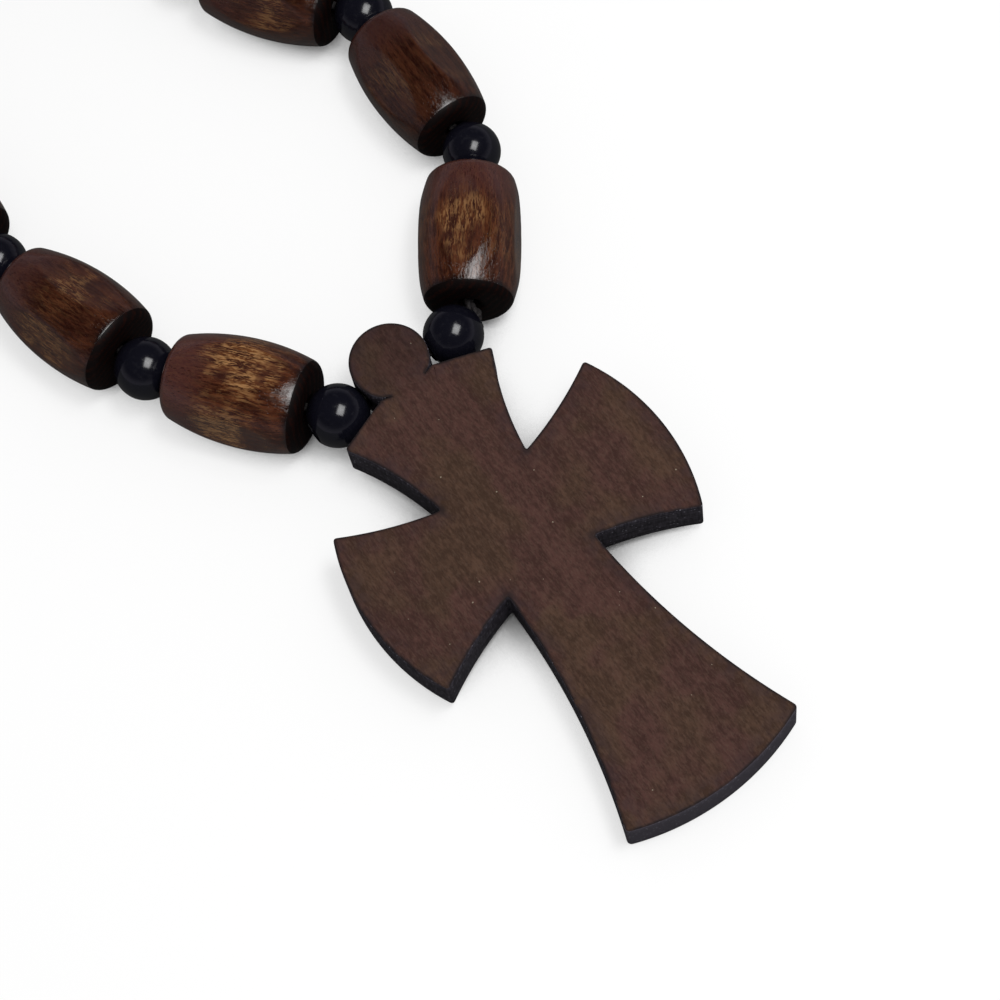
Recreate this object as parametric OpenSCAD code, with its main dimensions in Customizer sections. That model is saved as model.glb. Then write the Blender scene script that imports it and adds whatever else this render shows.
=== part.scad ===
// Single-decade rosary: a flat wooden cross with a drilled knob, on a closed loop
// of ten faceted barrel beads that take turns with small round spacer beads.
// The loop lies flat with the cross leaning on it, and +Y runs up the cross.
// Headings are angles from +Y towards +X, in the plane of the loop.

/* [Cross] */
// Thickness of the cross
cross_t = 4.6; // [4.2:0.1:6]
// Width of the cross where its arms meet
waist_w = 9.8; // [8:0.1:11.5]
// Height of the cross where its arms meet
waist_h = 10.6; // [8:0.1:12]
// Middle of the cross to the rounded end of a side arm
arm_reach = 16.5; // [14:0.1:20]
// Width of a side arm across its corners
arm_tip_w = 18.4; // [15:0.1:20]
// Rise of the rounded end of a side arm
arm_rise = 2.1; // [1:0.1:3]
// Depth of the hollow in each long edge of a side arm
arm_hollow = 0.35; // [0.2:0.05:0.8]
// Middle of the cross to the corners of the head
head_reach = 15.7; // [13:0.1:18]
// Width of the head across its corners
head_tip_w = 17; // [14.6:0.1:19]
// Rise of the head's sloping top from its corners to the neck
head_rise = 2.2; // [1:0.1:3]
// Depth of the hollow in each long edge of the head
head_hollow = 0.5; // [0.2:0.05:0.8]
// Middle of the cross to the rounded end of the foot
foot_reach = 31.3; // [26:0.1:38]
// Width of the foot across its corners
foot_tip_w = 19.2; // [14:0.1:24]
// Rise of the rounded end of the foot
foot_rise = 1.9; // [1:0.1:3]
// Depth of the hollow in each long edge of the foot
foot_hollow = 1.05; // [0.4:0.05:1.6]

/* [Knob] */
// Diameter of the round knob above the head
knob_d = 7.7; // [7:0.1:9]
// Width of the neck between the head and the knob
neck_w = 4.8; // [3.6:0.1:5.4]
// Diameter of the hole drilled through the knob from side to side
knob_hole_d = 2; // [1.8:0.1:2.6]
// Drop of that hole below the middle of the knob
hole_drop = 0.7; // [0:0.1:1.2]

/* [Barrel beads] */
// Largest diameter of a barrel bead
barrel_d = 10.3; // [9:0.1:11]
// Diameter of its flat ends
barrel_end_d = 8.1; // [7.4:0.1:8.6]
// Width across its opposite flats
barrel_flat_w = 9.3; // [8.8:0.05:9.8]
// Length of a barrel bead
barrel_len = 14; // [12:0.1:18]
// Diameter of the hole through every bead
bead_hole_d = 2; // [1.8:0.1:2.6]

/* [Spacer beads] */
// Diameter of a round spacer bead
spacer_d = 6; // [5.6:0.1:7]

/* [Cord] */
// Diameter of the cord
cord_d = 1; // [0.7:0.1:1.4]
// Diameter of the knot hidden in one barrel bead
knot_d = 1.6; // [1.4:0.1:1.7]

/* [Loop] */
// Headings of the three right-hand barrels next to the cross
right_angle_1 = 36.5; // [33:0.5:41]
right_angle_2 = 2; // [0:0.5:8]
right_angle_3 = -32; // [-36:0.5:-28]
// Headings of the three left-hand barrels next to the cross
left_angle_1 = -36.5; // [-41:0.5:-33]
left_angle_2 = -15.5; // [-19:0.5:-11]
left_angle_3 = -8; // [-12:0.5:-4]
// Turns of the same barrels on the cord: 0 has a flat on top, and more lifts the left-hand flat
right_turn_angle_1 = -2; // [-45:1:45]
right_turn_angle_2 = 44; // [-45:1:45]
right_turn_angle_3 = 31; // [-45:1:45]
left_turn_angle_1 = 8; // [-45:1:45]
left_turn_angle_2 = 27; // [-45:1:45]
left_turn_angle_3 = 40; // [-45:1:45]
// How far the first right-hand barrel lies out of line with the spacer that it meets
right_slip = 1.4; // [1.1:0.1:1.6]

/* [Fits] */
// Play between a spacer and the rim that it seats on
bead_gap = 0.05; // [0.04:0.01:0.15]
// Gap between a spacer and the sloping top of the head
nest_gap = 0.3; // [0.2:0.05:0.6]
// Height above the table of a barrel that lies on the round part between two flats
rest_gap = 0.05; // [0:0.01:0.1]
// Gap between the cord ends in neighbouring beads
cord_gap = 0.2; // [0.1:0.05:0.4]

/* [Hidden] */
$fn = 96;
CROSS_COLOUR = [0.28, 0.20, 0.17];
BARREL_COLOUR = [0.33, 0.20, 0.13];
SPACER_COLOUR = [0.06, 0.06, 0.08];
CORD_COLOUR = [0.10, 0.09, 0.09];

barrel_r = barrel_d / 2;
end_r = barrel_end_d / 2;
spacer_r = spacer_d / 2;
knob_r = knob_d / 2;
hole_r = bead_hole_d / 2;
cord_h = barrel_r + rest_gap;

// A spacer dips into the hole that it seats on: centre of the sphere to the rim.
seat = sqrt(spacer_r * spacer_r - hole_r * hole_r) + bead_gap;
knob_seat = sqrt(spacer_r * spacer_r - pow(knob_hole_d / 2, 2)) + bead_gap;
pitch = barrel_len + 2 * seat;
hub_x = knob_r + knob_seat;

// Side profile of a barrel bead: one arc from end to end.
barrel_sag = barrel_r - end_r;
barrel_arc_r = (pow(barrel_len / 2, 2) + pow(barrel_sag, 2)) / (2 * barrel_sag);

// The hole sits where the spacers nest between the knob and the head's slopes.
slope = atan(head_rise / (head_tip_w / 2 - neck_w / 2));
slope_y = head_reach + (head_tip_w / 2 - hub_x) * tan(slope);
hole_y = slope_y + (spacer_r + nest_gap) / cos(slope);
knob_y = hole_y + hole_drop;

// The cross leans on the rounded end of its foot and hangs on the cord.
foot_arm = hole_y + foot_reach;
lean = asin(cord_h / norm([foot_arm, cross_t / 2])) - atan(cross_t / 2 / foot_arm);

// Points of the loop: the centre of the knob's hole is at the origin.
function step(heading) = pitch * [sin(heading), cos(heading)];
function walk(start, headings, n) =
    n == 0 ? start : walk(start, headings, n - 1) + step(headings[n - 1]);

// The four far barrels close the loop as an arc of equal bends. Its chord is
// pitch * sin(2 * bend) / sin(bend / 2), and halving an interval finds the bend.
function chord_ratio(bend) = sin(2 * bend) / sin(bend / 2);
function find_bend(ratio, low, high, n) =
    let (mid = (low + high) / 2)
    n == 0 ? mid
    : chord_ratio(mid) > ratio ? find_bend(ratio, mid, high, n - 1)
    : find_bend(ratio, low, mid, n - 1);

near_right = [right_angle_1, right_angle_2, right_angle_3];
near_left = [left_angle_1, left_angle_2, left_angle_3];

// The first right-hand barrel meets its spacer with the flat of its end, beside the hole.
slip_side = right_slip * [cos(right_angle_1), -sin(right_angle_1)];
slip_ahead = (spacer_r + bead_gap - seat) * [sin(right_angle_1), cos(right_angle_1)];
right_start = [hub_x, 0] + slip_side + slip_ahead;
left_start = [-hub_x, 0];
right_3_end = walk(right_start, near_right, 3);
left_3_end = walk(left_start, near_left, 3);
chord = left_3_end - right_3_end;
chord_heading = atan2(chord[0], chord[1]);
bend = find_bend(norm(chord) / pitch, 1, 89, 40);

right_headings = concat(near_right, [chord_heading + 1.5 * bend, chord_heading + 0.5 * bend]);
left_headings = concat(near_left, [chord_heading - 1.5 * bend + 180, chord_heading - 0.5 * bend + 180]);
right_points = [for (i = [0:5]) walk(right_start, right_headings, i)];
left_points = [for (i = [0:5]) walk(left_start, left_headings, i)];

right_turns = [right_turn_angle_1, right_turn_angle_2, right_turn_angle_3, 49, 36];
left_turns = [left_turn_angle_1, left_turn_angle_2, left_turn_angle_3, 52, 34];

// How far a barrel reaches to the side of its middle: the arc, or the rim where it lies more across.
function side_reach(tilt) =
    barrel_arc_r * sin(tilt) < barrel_len / 2 ? barrel_arc_r - (barrel_arc_r - barrel_r) * cos(tilt)
    : end_r * cos(tilt) + barrel_len / 2 * sin(tilt);

// The model's origin is under the middle of its outline, on the table.
function barrel_x(points, n) = (points[n][0] + points[n + 1][0]) / 2;
max_x = max([for (n = [0:4]) barrel_x(right_points, n) + side_reach(abs(right_headings[n]))]);
min_x = min([for (n = [0:4]) barrel_x(left_points, n) - side_reach(abs(left_headings[n]))]);
max_y = right_points[5][1] + spacer_r;
min_y = -foot_arm * cos(lean) - cross_t / 2 * sin(lean);
middle = [(max_x + min_x) / 2, (max_y + min_y) / 2];

// Places children, built along Z, in the plane of the loop along a heading.
module along(point, heading) {
    translate([point[0] - middle[0], point[1] - middle[1], cord_h])
        rotate([0, 0, -heading])
            rotate([-90, 0, 0])
                children();
}

// Outline of one flared arm that points to +Y, up to its corners, and a point in the middle.
module flare(root_w, root_y, tip_w, tip_y, top, hollow) {
    root = [root_w / 2, root_y];
    tip = [tip_w / 2, tip_y];
    edge = tip - root;
    across = [edge[1], -edge[0]] / norm(edge);
    hollow_r = (pow(norm(edge) / 2, 2) + hollow * hollow) / (2 * hollow);
    centre = (root + tip) / 2 + across * (hollow_r - hollow);
    difference() {
        polygon(concat([[0, 0], root, tip], top, [[-tip[0], tip[1]], [-root[0], root[1]]]));
        for (side = [-1, 1])
            translate([side * centre[0], centre[1]])
                circle(hollow_r, $fn = 360);
    }
}

// A flared arm whose end is one shallow arc through its corners.
module round_arm(root_w, root_y, tip_w, reach, rise, hollow) {
    end_arc_r = (pow(tip_w / 2, 2) + rise * rise) / (2 * rise);
    corner = reach - rise;
    intersection() {
        flare(root_w, root_y, tip_w, corner, [[tip_w / 2, reach + 1], [-tip_w / 2, reach + 1]], hollow);
        translate([0, reach - end_arc_r])
            circle(end_arc_r, $fn = 360);
    }
}

// Outline of the whole cross, with its middle at the origin.
module cross_outline() {
    neck_y = head_reach + head_rise;
    square([waist_w, waist_h], center = true);
    flare(waist_w, waist_h / 2, head_tip_w, head_reach,
        [[neck_w / 2, neck_y], [neck_w / 2, knob_y], [-neck_w / 2, knob_y], [-neck_w / 2, neck_y]], head_hollow);
    for (side = [-90, 90])
        rotate(side)
            round_arm(waist_h, waist_w / 2, arm_tip_w, arm_reach, arm_rise, arm_hollow);
    rotate(180)
        round_arm(waist_w, waist_h / 2, foot_tip_w, foot_reach, foot_rise, foot_hollow);
    translate([0, knob_y])
        circle(knob_r);
}

module cross() {
    color(CROSS_COLOUR)
        translate([-middle[0], -middle[1], cord_h])
            rotate([lean, 0, 0])
                difference() {
                    translate([0, -hole_y, -cross_t / 2])
                        linear_extrude(cross_t)
                            cross_outline();
                    rotate([0, 90, 0])
                        cylinder(d = knob_hole_d, h = knob_d + 2, center = true);
                }
}

// A barrel with four flats, turned on the cord.
module barrel(points, headings, turns, n) {
    color(BARREL_COLOUR)
        along((points[n - 1] + points[n]) / 2, headings[n - 1])
            difference() {
                intersection() {
                    rotate_extrude()
                        intersection() {
                            translate([barrel_r - barrel_arc_r, 0])
                                circle(barrel_arc_r, $fn = 360);
                            translate([0, -barrel_len / 2])
                                square([barrel_d, barrel_len]);
                        }
                    rotate([0, 0, turns[n - 1]])
                        cube([barrel_flat_w, barrel_flat_w, barrel_len + 2], center = true);
                }
                cylinder(d = bead_hole_d, h = barrel_len + 2, center = true);
            }
}

// A round bead whose hole halves the bend of the cord.
module spacer(point, heading) {
    color(SPACER_COLOUR)
        along(point, heading)
            difference() {
                sphere(spacer_r);
                cylinder(d = bead_hole_d, h = spacer_d + 2, center = true);
            }
}

function bisector(headings, n) = (headings[n - 1] + headings[n]) / 2;

// The cord inside one spacer, which ends inside the bead's hole.
module cord_in_spacer(point, heading) {
    inside = seat - bead_gap - cord_gap;
    color(CORD_COLOUR)
        along(point, heading)
            cylinder(d = cord_d, h = 2 * inside, center = true);
}

// The cord inside one barrel. It stops short of the spacers, which turn about their centres.
module cord_in_barrel(points, headings, n) {
    color(CORD_COLOUR)
        along((points[n - 1] + points[n]) / 2, headings[n - 1])
            cylinder(d = cord_d, h = pitch - spacer_d - 2 * cord_gap, center = true);
}

// Everything of the cord that moves with one row of beads.
module cord_row(n) {
    cord_in_barrel(right_points, right_headings, n);
    cord_in_barrel(left_points, left_headings, n);
    if (n < 5) {
        cord_in_spacer(right_points[n], bisector(right_headings, n));
        cord_in_spacer(left_points[n], bisector(left_headings, n));
    }
}

module spacer_right_0() { spacer([hub_x, 0], 90); }
module spacer_right_1() { spacer(right_points[1], bisector(right_headings, 1)); }
module spacer_right_2() { spacer(right_points[2], bisector(right_headings, 2)); }
module spacer_right_3() { spacer(right_points[3], bisector(right_headings, 3)); }
module spacer_right_4() { spacer(right_points[4], bisector(right_headings, 4)); }
module spacer_left_0() { spacer([-hub_x, 0], 90); }
module spacer_left_1() { spacer(left_points[1], bisector(left_headings, 1)); }
module spacer_left_2() { spacer(left_points[2], bisector(left_headings, 2)); }
module spacer_left_3() { spacer(left_points[3], bisector(left_headings, 3)); }
module spacer_left_4() { spacer(left_points[4], bisector(left_headings, 4)); }
module spacer_far() { spacer(right_points[5], chord_heading); }

module barrel_right_1() { barrel(right_points, right_headings, right_turns, 1); }
module barrel_right_2() { barrel(right_points, right_headings, right_turns, 2); }
module barrel_right_3() { barrel(right_points, right_headings, right_turns, 3); }
module barrel_right_4() { barrel(right_points, right_headings, right_turns, 4); }
module barrel_right_5() { barrel(right_points, right_headings, right_turns, 5); }
module barrel_left_1() { barrel(left_points, left_headings, left_turns, 1); }
module barrel_left_2() { barrel(left_points, left_headings, left_turns, 2); }
module barrel_left_3() { barrel(left_points, left_headings, left_turns, 3); }
module barrel_left_4() { barrel(left_points, left_headings, left_turns, 4); }
module barrel_left_5() { barrel(left_points, left_headings, left_turns, 5); }

// The first row also has the length through the knob and the two spacers beside it.
module cord_row_1() {
    inside = seat - bead_gap - cord_gap;
    cord_row(1);
    color(CORD_COLOUR)
        along([0, 0], 90)
            cylinder(d = cord_d, h = 2 * (hub_x + inside), center = true);
}
module cord_row_2() { cord_row(2); }
module cord_row_3() { cord_row(3); }
module cord_row_4() { cord_row(4); }
// The last row has the far spacer's cord and the knot, pulled into the right-hand barrel.
module cord_row_5() {
    cord_row(5);
    cord_in_spacer(right_points[5], chord_heading);
    color(CORD_COLOUR)
        along((right_points[4] + right_points[5]) / 2, right_headings[4])
            sphere(d = knot_d);
}

cross();
spacer_right_0();
barrel_right_1();
spacer_right_1();
barrel_right_2();
spacer_right_2();
barrel_right_3();
spacer_right_3();
barrel_right_4();
spacer_right_4();
barrel_right_5();
spacer_left_0();
barrel_left_1();
spacer_left_1();
barrel_left_2();
spacer_left_2();
barrel_left_3();
spacer_left_3();
barrel_left_4();
spacer_left_4();
barrel_left_5();
spacer_far();
cord_row_1();
cord_row_2();
cord_row_3();
cord_row_4();
cord_row_5();
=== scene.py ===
import math

import bmesh
import bpy
import numpy as np
from mathutils import Matrix, Vector, noise
from mathutils.geometry import interpolate_bezier


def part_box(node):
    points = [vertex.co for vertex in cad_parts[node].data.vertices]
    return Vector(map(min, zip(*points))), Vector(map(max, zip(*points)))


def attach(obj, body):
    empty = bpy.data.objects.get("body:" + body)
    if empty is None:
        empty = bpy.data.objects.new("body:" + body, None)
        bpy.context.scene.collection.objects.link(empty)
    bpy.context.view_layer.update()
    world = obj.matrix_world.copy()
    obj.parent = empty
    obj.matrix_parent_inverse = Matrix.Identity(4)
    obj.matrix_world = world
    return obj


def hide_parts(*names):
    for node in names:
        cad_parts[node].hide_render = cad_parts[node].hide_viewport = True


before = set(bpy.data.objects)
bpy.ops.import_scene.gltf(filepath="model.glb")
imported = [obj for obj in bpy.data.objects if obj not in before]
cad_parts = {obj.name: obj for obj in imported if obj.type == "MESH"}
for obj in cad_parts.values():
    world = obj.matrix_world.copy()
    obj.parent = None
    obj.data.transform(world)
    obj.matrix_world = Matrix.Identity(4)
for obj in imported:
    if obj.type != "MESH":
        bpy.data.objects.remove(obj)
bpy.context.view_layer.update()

# ---------------------------------------------------------------------------
# Camera. It looks down past the foot of the cross, near enough that the far
# half of the loop is out of view.
# ---------------------------------------------------------------------------
CAMERA_AZIMUTH, CAMERA_ELEVATION, CAMERA_ROLL = -110.5, 65.83, -16.64
CAMERA_DISTANCE = 0.28052
CAMERA_AIM = Vector((0.00372, -0.03152, 0))
CAMERA_FOCAL_SHARE = 2.96873  # focal length over the width of the sensor

azimuth, elevation = math.radians(CAMERA_AZIMUTH), math.radians(CAMERA_ELEVATION)
towards_camera = Vector((
    math.cos(elevation) * math.cos(azimuth),
    math.cos(elevation) * math.sin(azimuth),
    math.sin(elevation),
))
camera_right = (-towards_camera).cross(Vector((0, 0, 1))).normalized()
camera_up = camera_right.cross(-towards_camera)
roll = Matrix.Rotation(math.radians(CAMERA_ROLL), 3, towards_camera)
camera_right, camera_up = roll @ camera_right, roll @ camera_up

camera_data = bpy.data.cameras.new("camera")
camera_data.sensor_width = 36
camera_data.lens = CAMERA_FOCAL_SHARE * camera_data.sensor_width
camera_data.clip_start = 0.01
camera = bpy.data.objects.new("camera", camera_data)
camera.matrix_world = Matrix.Translation(CAMERA_AIM + CAMERA_DISTANCE * towards_camera) @ Matrix((
    (camera_right.x, camera_up.x, towards_camera.x),
    (camera_right.y, camera_up.y, towards_camera.y),
    (camera_right.z, camera_up.z, towards_camera.z),
)).to_4x4()
bpy.context.scene.collection.objects.link(camera)
bpy.context.scene.camera = camera

# ---------------------------------------------------------------------------
# Cord. One waxed cord of three twisted strands runs through every bead and
# through the knob. It shows only in the slits between beads, and its knot is
# pulled into the bore of a barrel at the far end of the loop.
# ---------------------------------------------------------------------------
MM = 0.001
CORD_RADIUS = 0.5 * MM
STRAND_RADIUS = 0.265 * MM
TWIST_PITCH = 2.6 * MM
CORD_IN_SPACER = 2.628 * MM  # half the length of cord in a spacer
CORD_IN_BARREL = 6.678 * MM  # half the length of cord in a barrel
KNOT_TURNS, KNOT_STEPS = 3, 48
KNOT_LENGTH, KNOT_REACH, KNOT_STRAND_RADIUS = 1.3 * MM, 0.54 * MM, 0.25 * MM
# The bridge of cord in front of the first right-hand barrel, which has slipped aside.
BRIDGE_START = 2.5 * MM  # from the middle of the spacer
BRIDGE_OVERLAP = 0.2 * MM  # with the cord in the barrel
BRIDGE_HANDLES = 1.15 * MM, 1.0 * MM  # how far it keeps straight at its start and at its end
CORD_COLOUR = (0.012, 0.011, 0.012, 1)
CORD_FIBRE_COLOUR = (0.045, 0.040, 0.040, 1)


def middle_of(node):
    low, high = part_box(node)
    return (low + high) / 2


def bends_of(side):
    """The points where one side of the loop bends, which are the middles of its spacers."""
    return [middle_of(f"spacer_{side}_{n}") for n in range(5)] + [middle_of("spacer_far")]


def put(tree, kind, values=None, **settings):
    """Adds one shader node. A value that is a socket is linked, any other is set."""
    node = tree.nodes.new(kind)
    for name, value in settings.items():
        setattr(node, name, value)
    for name, value in (values or {}).items():
        if isinstance(value, bpy.types.NodeSocket):
            tree.links.new(value, node.inputs[name])
        else:
            node.inputs[name].default_value = value
    return node


def lumps(tree, place, scale, detail, **values):
    """Smooth noise about 0.5. The larger the scale, the smaller its lumps."""
    values = {"Vector": place, "Scale": scale, "Detail": detail, **values}
    return put(tree, "ShaderNodeTexNoise", values).outputs[0]


def vectors(tree, operation, first, second=(0, 0, 0)):
    """Vector arithmetic. SCALE takes a number as its second value."""
    second_socket = 3 if operation == "SCALE" else 1
    values = {0: first, second_socket: second}
    return put(tree, "ShaderNodeVectorMath", values, operation=operation).outputs[0]


def between(tree, share, first, second):
    """Mixes two colours."""
    mixed = put(tree, "ShaderNodeMix", {0: share, 6: first, 7: second}, data_type="RGBA")
    return mixed.outputs[2]


def ramp(tree, value, start, end, low=0.0, high=1.0):
    """A smooth step from low to high as value goes from start to end."""
    stepped = put(tree, "ShaderNodeMapRange",
        {"Value": value, "From Min": start, "From Max": end, "To Min": low, "To Max": high},
        interpolation_type="SMOOTHSTEP")
    return stepped.outputs["Result"]


def roughen(tree, shader, height, strength, distance):
    """Lets a height stand out from the surface. The distance is in mm."""
    values = {"Height": height, "Strength": strength, "Distance": distance * MM}
    bump = put(tree, "ShaderNodeBump", values)
    tree.links.new(bump.outputs[0], shader.inputs["Normal"])


def finish_of(name):
    """A new material with its tree, its Principled shader and nothing else."""
    material = bpy.data.materials.new(name)
    material.use_nodes = True
    tree = material.node_tree
    tree.nodes.clear()
    shader = put(tree, "ShaderNodeBsdfPrincipled")
    put(tree, "ShaderNodeOutputMaterial", {"Surface": shader.outputs[0]})
    return material, tree, shader


def make_piece(name, points, faces, smooth=True):
    mesh = bpy.data.meshes.new(name)
    mesh.from_pydata([tuple(p) for p in points], [], faces)
    mesh.polygons.foreach_set("use_smooth", [smooth] * len(mesh.polygons))
    mesh.update()
    piece = bpy.data.objects.new(name, mesh)
    bpy.context.scene.collection.objects.link(piece)
    return piece


def add_strand(points, faces, path, radius, sides=7):
    """One tube along a path, closed at both ends."""
    first = len(points)
    across = (path[1] - path[0]).orthogonal().normalized()
    for i, p in enumerate(path):
        along = (path[min(i + 1, len(path) - 1)] - path[max(i - 1, 0)]).normalized()
        across = (across - across.dot(along) * along).normalized()
        other = along.cross(across)
        for k in range(sides):
            turn = 2 * math.pi * k / sides
            points.append(p + radius * (math.cos(turn) * across + math.sin(turn) * other))
    for i in range(len(path) - 1):
        for k in range(sides):
            a, b = first + i * sides + k, first + i * sides + (k + 1) % sides
            faces.append((a, b, b + sides, a + sides))
    faces.append(tuple(reversed(range(first, first + sides))))
    last = first + (len(path) - 1) * sides
    faces.append(tuple(range(last, last + sides)))


def add_twist(points, faces, start, end, handles=None):
    """Three strands twisted round a curve from start to end. Without handles it is straight."""
    length = (end - start).length
    steps = max(14, round(length / TWIST_PITCH * 9))
    handles = handles or (start.lerp(end, 1 / 3), start.lerp(end, 2 / 3))
    route = interpolate_bezier(start, *handles, end, steps + 1)
    for strand in range(3):
        path = []
        across = (route[1] - route[0]).orthogonal()
        for i, place in enumerate(route):
            along = (route[min(i + 1, steps)] - route[max(i - 1, 0)]).normalized()
            across = (across - across.dot(along) * along).normalized()
            turn = 2 * math.pi * (length * i / steps / TWIST_PITCH + strand / 3)
            arm = math.cos(turn) * across + math.sin(turn) * along.cross(across)
            path.append(place + (CORD_RADIUS - STRAND_RADIUS) * arm)
        add_strand(points, faces, path, STRAND_RADIUS)


def add_knot(points, faces, middle, along):
    """Tight turns of one strand round the cord."""
    across = along.orthogonal().normalized()
    other = along.cross(across)
    path = []
    for i in range(KNOT_STEPS + 1):
        turn = 2 * math.pi * KNOT_TURNS * i / KNOT_STEPS
        arm = math.cos(turn) * across + math.sin(turn) * other
        path.append(middle + (i / KNOT_STEPS - 0.5) * KNOT_LENGTH * along + KNOT_REACH * arm)
    add_strand(points, faces, path, KNOT_STRAND_RADIUS)


waxed_cord, tree, shader = finish_of("waxed_black_cord")
place = vectors(tree, "SCALE", put(tree, "ShaderNodeTexCoord").outputs["Object"], 1 / MM)
hairs = ramp(tree, lumps(tree, place, 9.0, 4.0, Roughness=0.7), 0.35, 0.7)
wax = lumps(tree, place, 0.8, 2.0)
tree.links.new(between(tree, hairs, CORD_COLOUR, CORD_FIBRE_COLOUR), shader.inputs["Base Color"])
tree.links.new(ramp(tree, wax, 0.4, 0.65, 0.45, 0.7), shader.inputs["Roughness"])
roughen(tree, shader, hairs, 0.5, 0.03)
shader.inputs["Specular IOR Level"].default_value = 0.15

right_bends, left_bends = bends_of("right"), bends_of("left")
both_sides = (("right", right_bends), ("left", left_bends))
for row in range(1, 6):
    points, faces = [], []
    for side, bends in both_sides:
        middle = middle_of(f"barrel_{side}_{row}")
        heading = (bends[row] - middle).normalized()
        add_twist(points, faces, middle - CORD_IN_BARREL * heading, middle + CORD_IN_BARREL * heading)
        if row < 5:
            onward = (bends[row + 1] - bends[row]).normalized()
            halfway = (heading + onward).normalized()
            half_cord = CORD_IN_SPACER * halfway
            add_twist(points, faces, bends[row] - half_cord, bends[row] + half_cord)
    if row == 1:
        through_knob = (right_bends[0] - left_bends[0]).normalized()
        half_cord = CORD_IN_SPACER * through_knob
        add_twist(points, faces, left_bends[0] - half_cord, right_bends[0] + half_cord)
        barrel = middle_of("barrel_right_1")
        heading = (right_bends[1] - barrel).normalized()
        start = right_bends[0] + BRIDGE_START * through_knob
        end = barrel - (CORD_IN_BARREL - BRIDGE_OVERLAP) * heading
        handles = (start + BRIDGE_HANDLES[0] * through_knob, end - BRIDGE_HANDLES[1] * heading)
        add_twist(points, faces, start, end, handles)
    if row == 5:
        half_cord = CORD_IN_SPACER * (left_bends[4] - right_bends[4]).normalized()
        add_twist(points, faces, right_bends[5] - half_cord, right_bends[5] + half_cord)
        heading = (right_bends[5] - right_bends[4]).normalized()
        add_knot(points, faces, (right_bends[4] + right_bends[5]) / 2, heading)
    strands = make_piece(f"twisted_cord_row_{row}", points, faces)
    strands.data.materials.append(waxed_cord)
    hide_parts(f"cord_row_{row}")
    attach(strands, f"row_{row}")

# ---------------------------------------------------------------------------
# Cross. One flat board of walnut, stained dark and left matte, cut by laser.
# The cut leaves charred walls and a thin burnt line round both faces. The knob
# on its head is drilled from side to side for the cord.
# ---------------------------------------------------------------------------
CROSS_THICK = 4.6
WAIST = (4.9, 5.3)
ARM_TIP, ARM_REACH, ARM_HOLLOW = (14.4, 9.2), 2.1, 0.35
HEAD_TIP, HEAD_HOLLOW = (8.5, 15.7), 0.5
FOOT_TIP, FOOT_RISE, FOOT_HOLLOW = (9.6, 29.4), 1.9, 1.05
NECK = (2.4, 17.9)
SLIT_TIP, SLIT_WIDTH = (1.90, 17.42), 0.30  # the cut runs a little too far below the knob
KNOB_RADIUS, KNOB_STEPS = 3.85, 34
KNOB_HOLE_RADIUS, KNOB_MOUTH_RADIUS, KNOB_HOLE_DROP = 1.0, 1.12, 0.7
KNOB_HOLE_Y, DRILL_SIDES = 19.847, 40
CROSS_FOOT_Y = 31.3
EDGE_ROUND, EDGE_MIDDLE = 0.11, 0.033
BURNT_RING = 0.34  # a ring of points this far inside the edge of each face
BOARD_SHIFT = (7.0, 3.0, 5.0)  # picks the part of the wood that the board is cut from

STAIN_COLOUR = (0.0575, 0.0268, 0.0188, 1)
STAIN_RED_COLOUR = (0.0590, 0.0235, 0.0190, 1)
STAIN_OLIVE_COLOUR = (0.0625, 0.0322, 0.0182, 1)
STAIN_PORE_COLOUR = (0.0260, 0.0135, 0.0115, 1)
STAIN_FLECK_COLOUR = (0.1150, 0.0720, 0.0500, 1)
CHAR_COLOUR = (0.0150, 0.0128, 0.0170, 1)
CHAR_GREY_AND_SHEEN_COLOUR = (0.0780, 0.0700, 0.0880, 1)
CRYSTAL_GLINT_COLOUR = (0.5000, 0.4800, 0.5600, 1)
DUST_COLOUR = (0.3500, 0.3000, 0.2200, 1)
BURNT_HAZE_COLOUR = (0.0300, 0.0165, 0.0190, 1)
BURNT_LINE_COLOUR = (0.0130, 0.0085, 0.0090, 1)
KNOB_BORE_SHADE_COLOUR = (0.0060, 0.0040, 0.0040, 1)


def arc(a, b, rise, steps):
    """Points from a to b, without b, on an arc that rises to the left of a to b."""
    a, b = np.array(a, float), np.array(b, float)
    chord = b - a
    length = np.hypot(*chord)
    left = np.array((-chord[1], chord[0])) / length
    radius = (length * length / 4 + rise * rise) / (2 * abs(rise))
    centre = (a + b) / 2 + left * (rise - math.copysign(radius, rise))
    first = math.atan2(*(a - centre)[::-1])
    turn = 2 * math.asin(length / 2 / radius) * (-1 if rise > 0 else 1)
    angles = [first + turn * i / steps for i in range(steps)]
    return [centre + radius * np.array((math.cos(angle), math.sin(angle))) for angle in angles]


def soften(outline, corners):
    """Rounds the corners of a closed outline, each over its own distance either way."""
    done, size = [], len(outline)
    spans = {}
    for corner, reach in corners.items():
        ends = []
        for way in (-1, 1):
            left, i = reach, corner
            while True:
                onward = outline[(i + way) % size] - outline[i % size]
                step = np.hypot(*onward)
                if step >= left:
                    ends.append((outline[i % size] + onward * left / step, i))
                    break
                left, i = left - step, i + way
        spans[corner] = ends
    skip = set()
    for corner, ((_, before), (_, after)) in spans.items():
        skip.update(i % size for i in range(before, after + 1))
    for i in range(size):
        if i in spans:
            (start, _), (end, _) = spans[i]
            for t in np.linspace(0, 1, 7):
                done.append((1 - t) ** 2 * start + 2 * t * (1 - t) * outline[i] + t * t * end)
        elif i not in skip:
            done.append(outline[i])
    return np.array(done)


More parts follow.
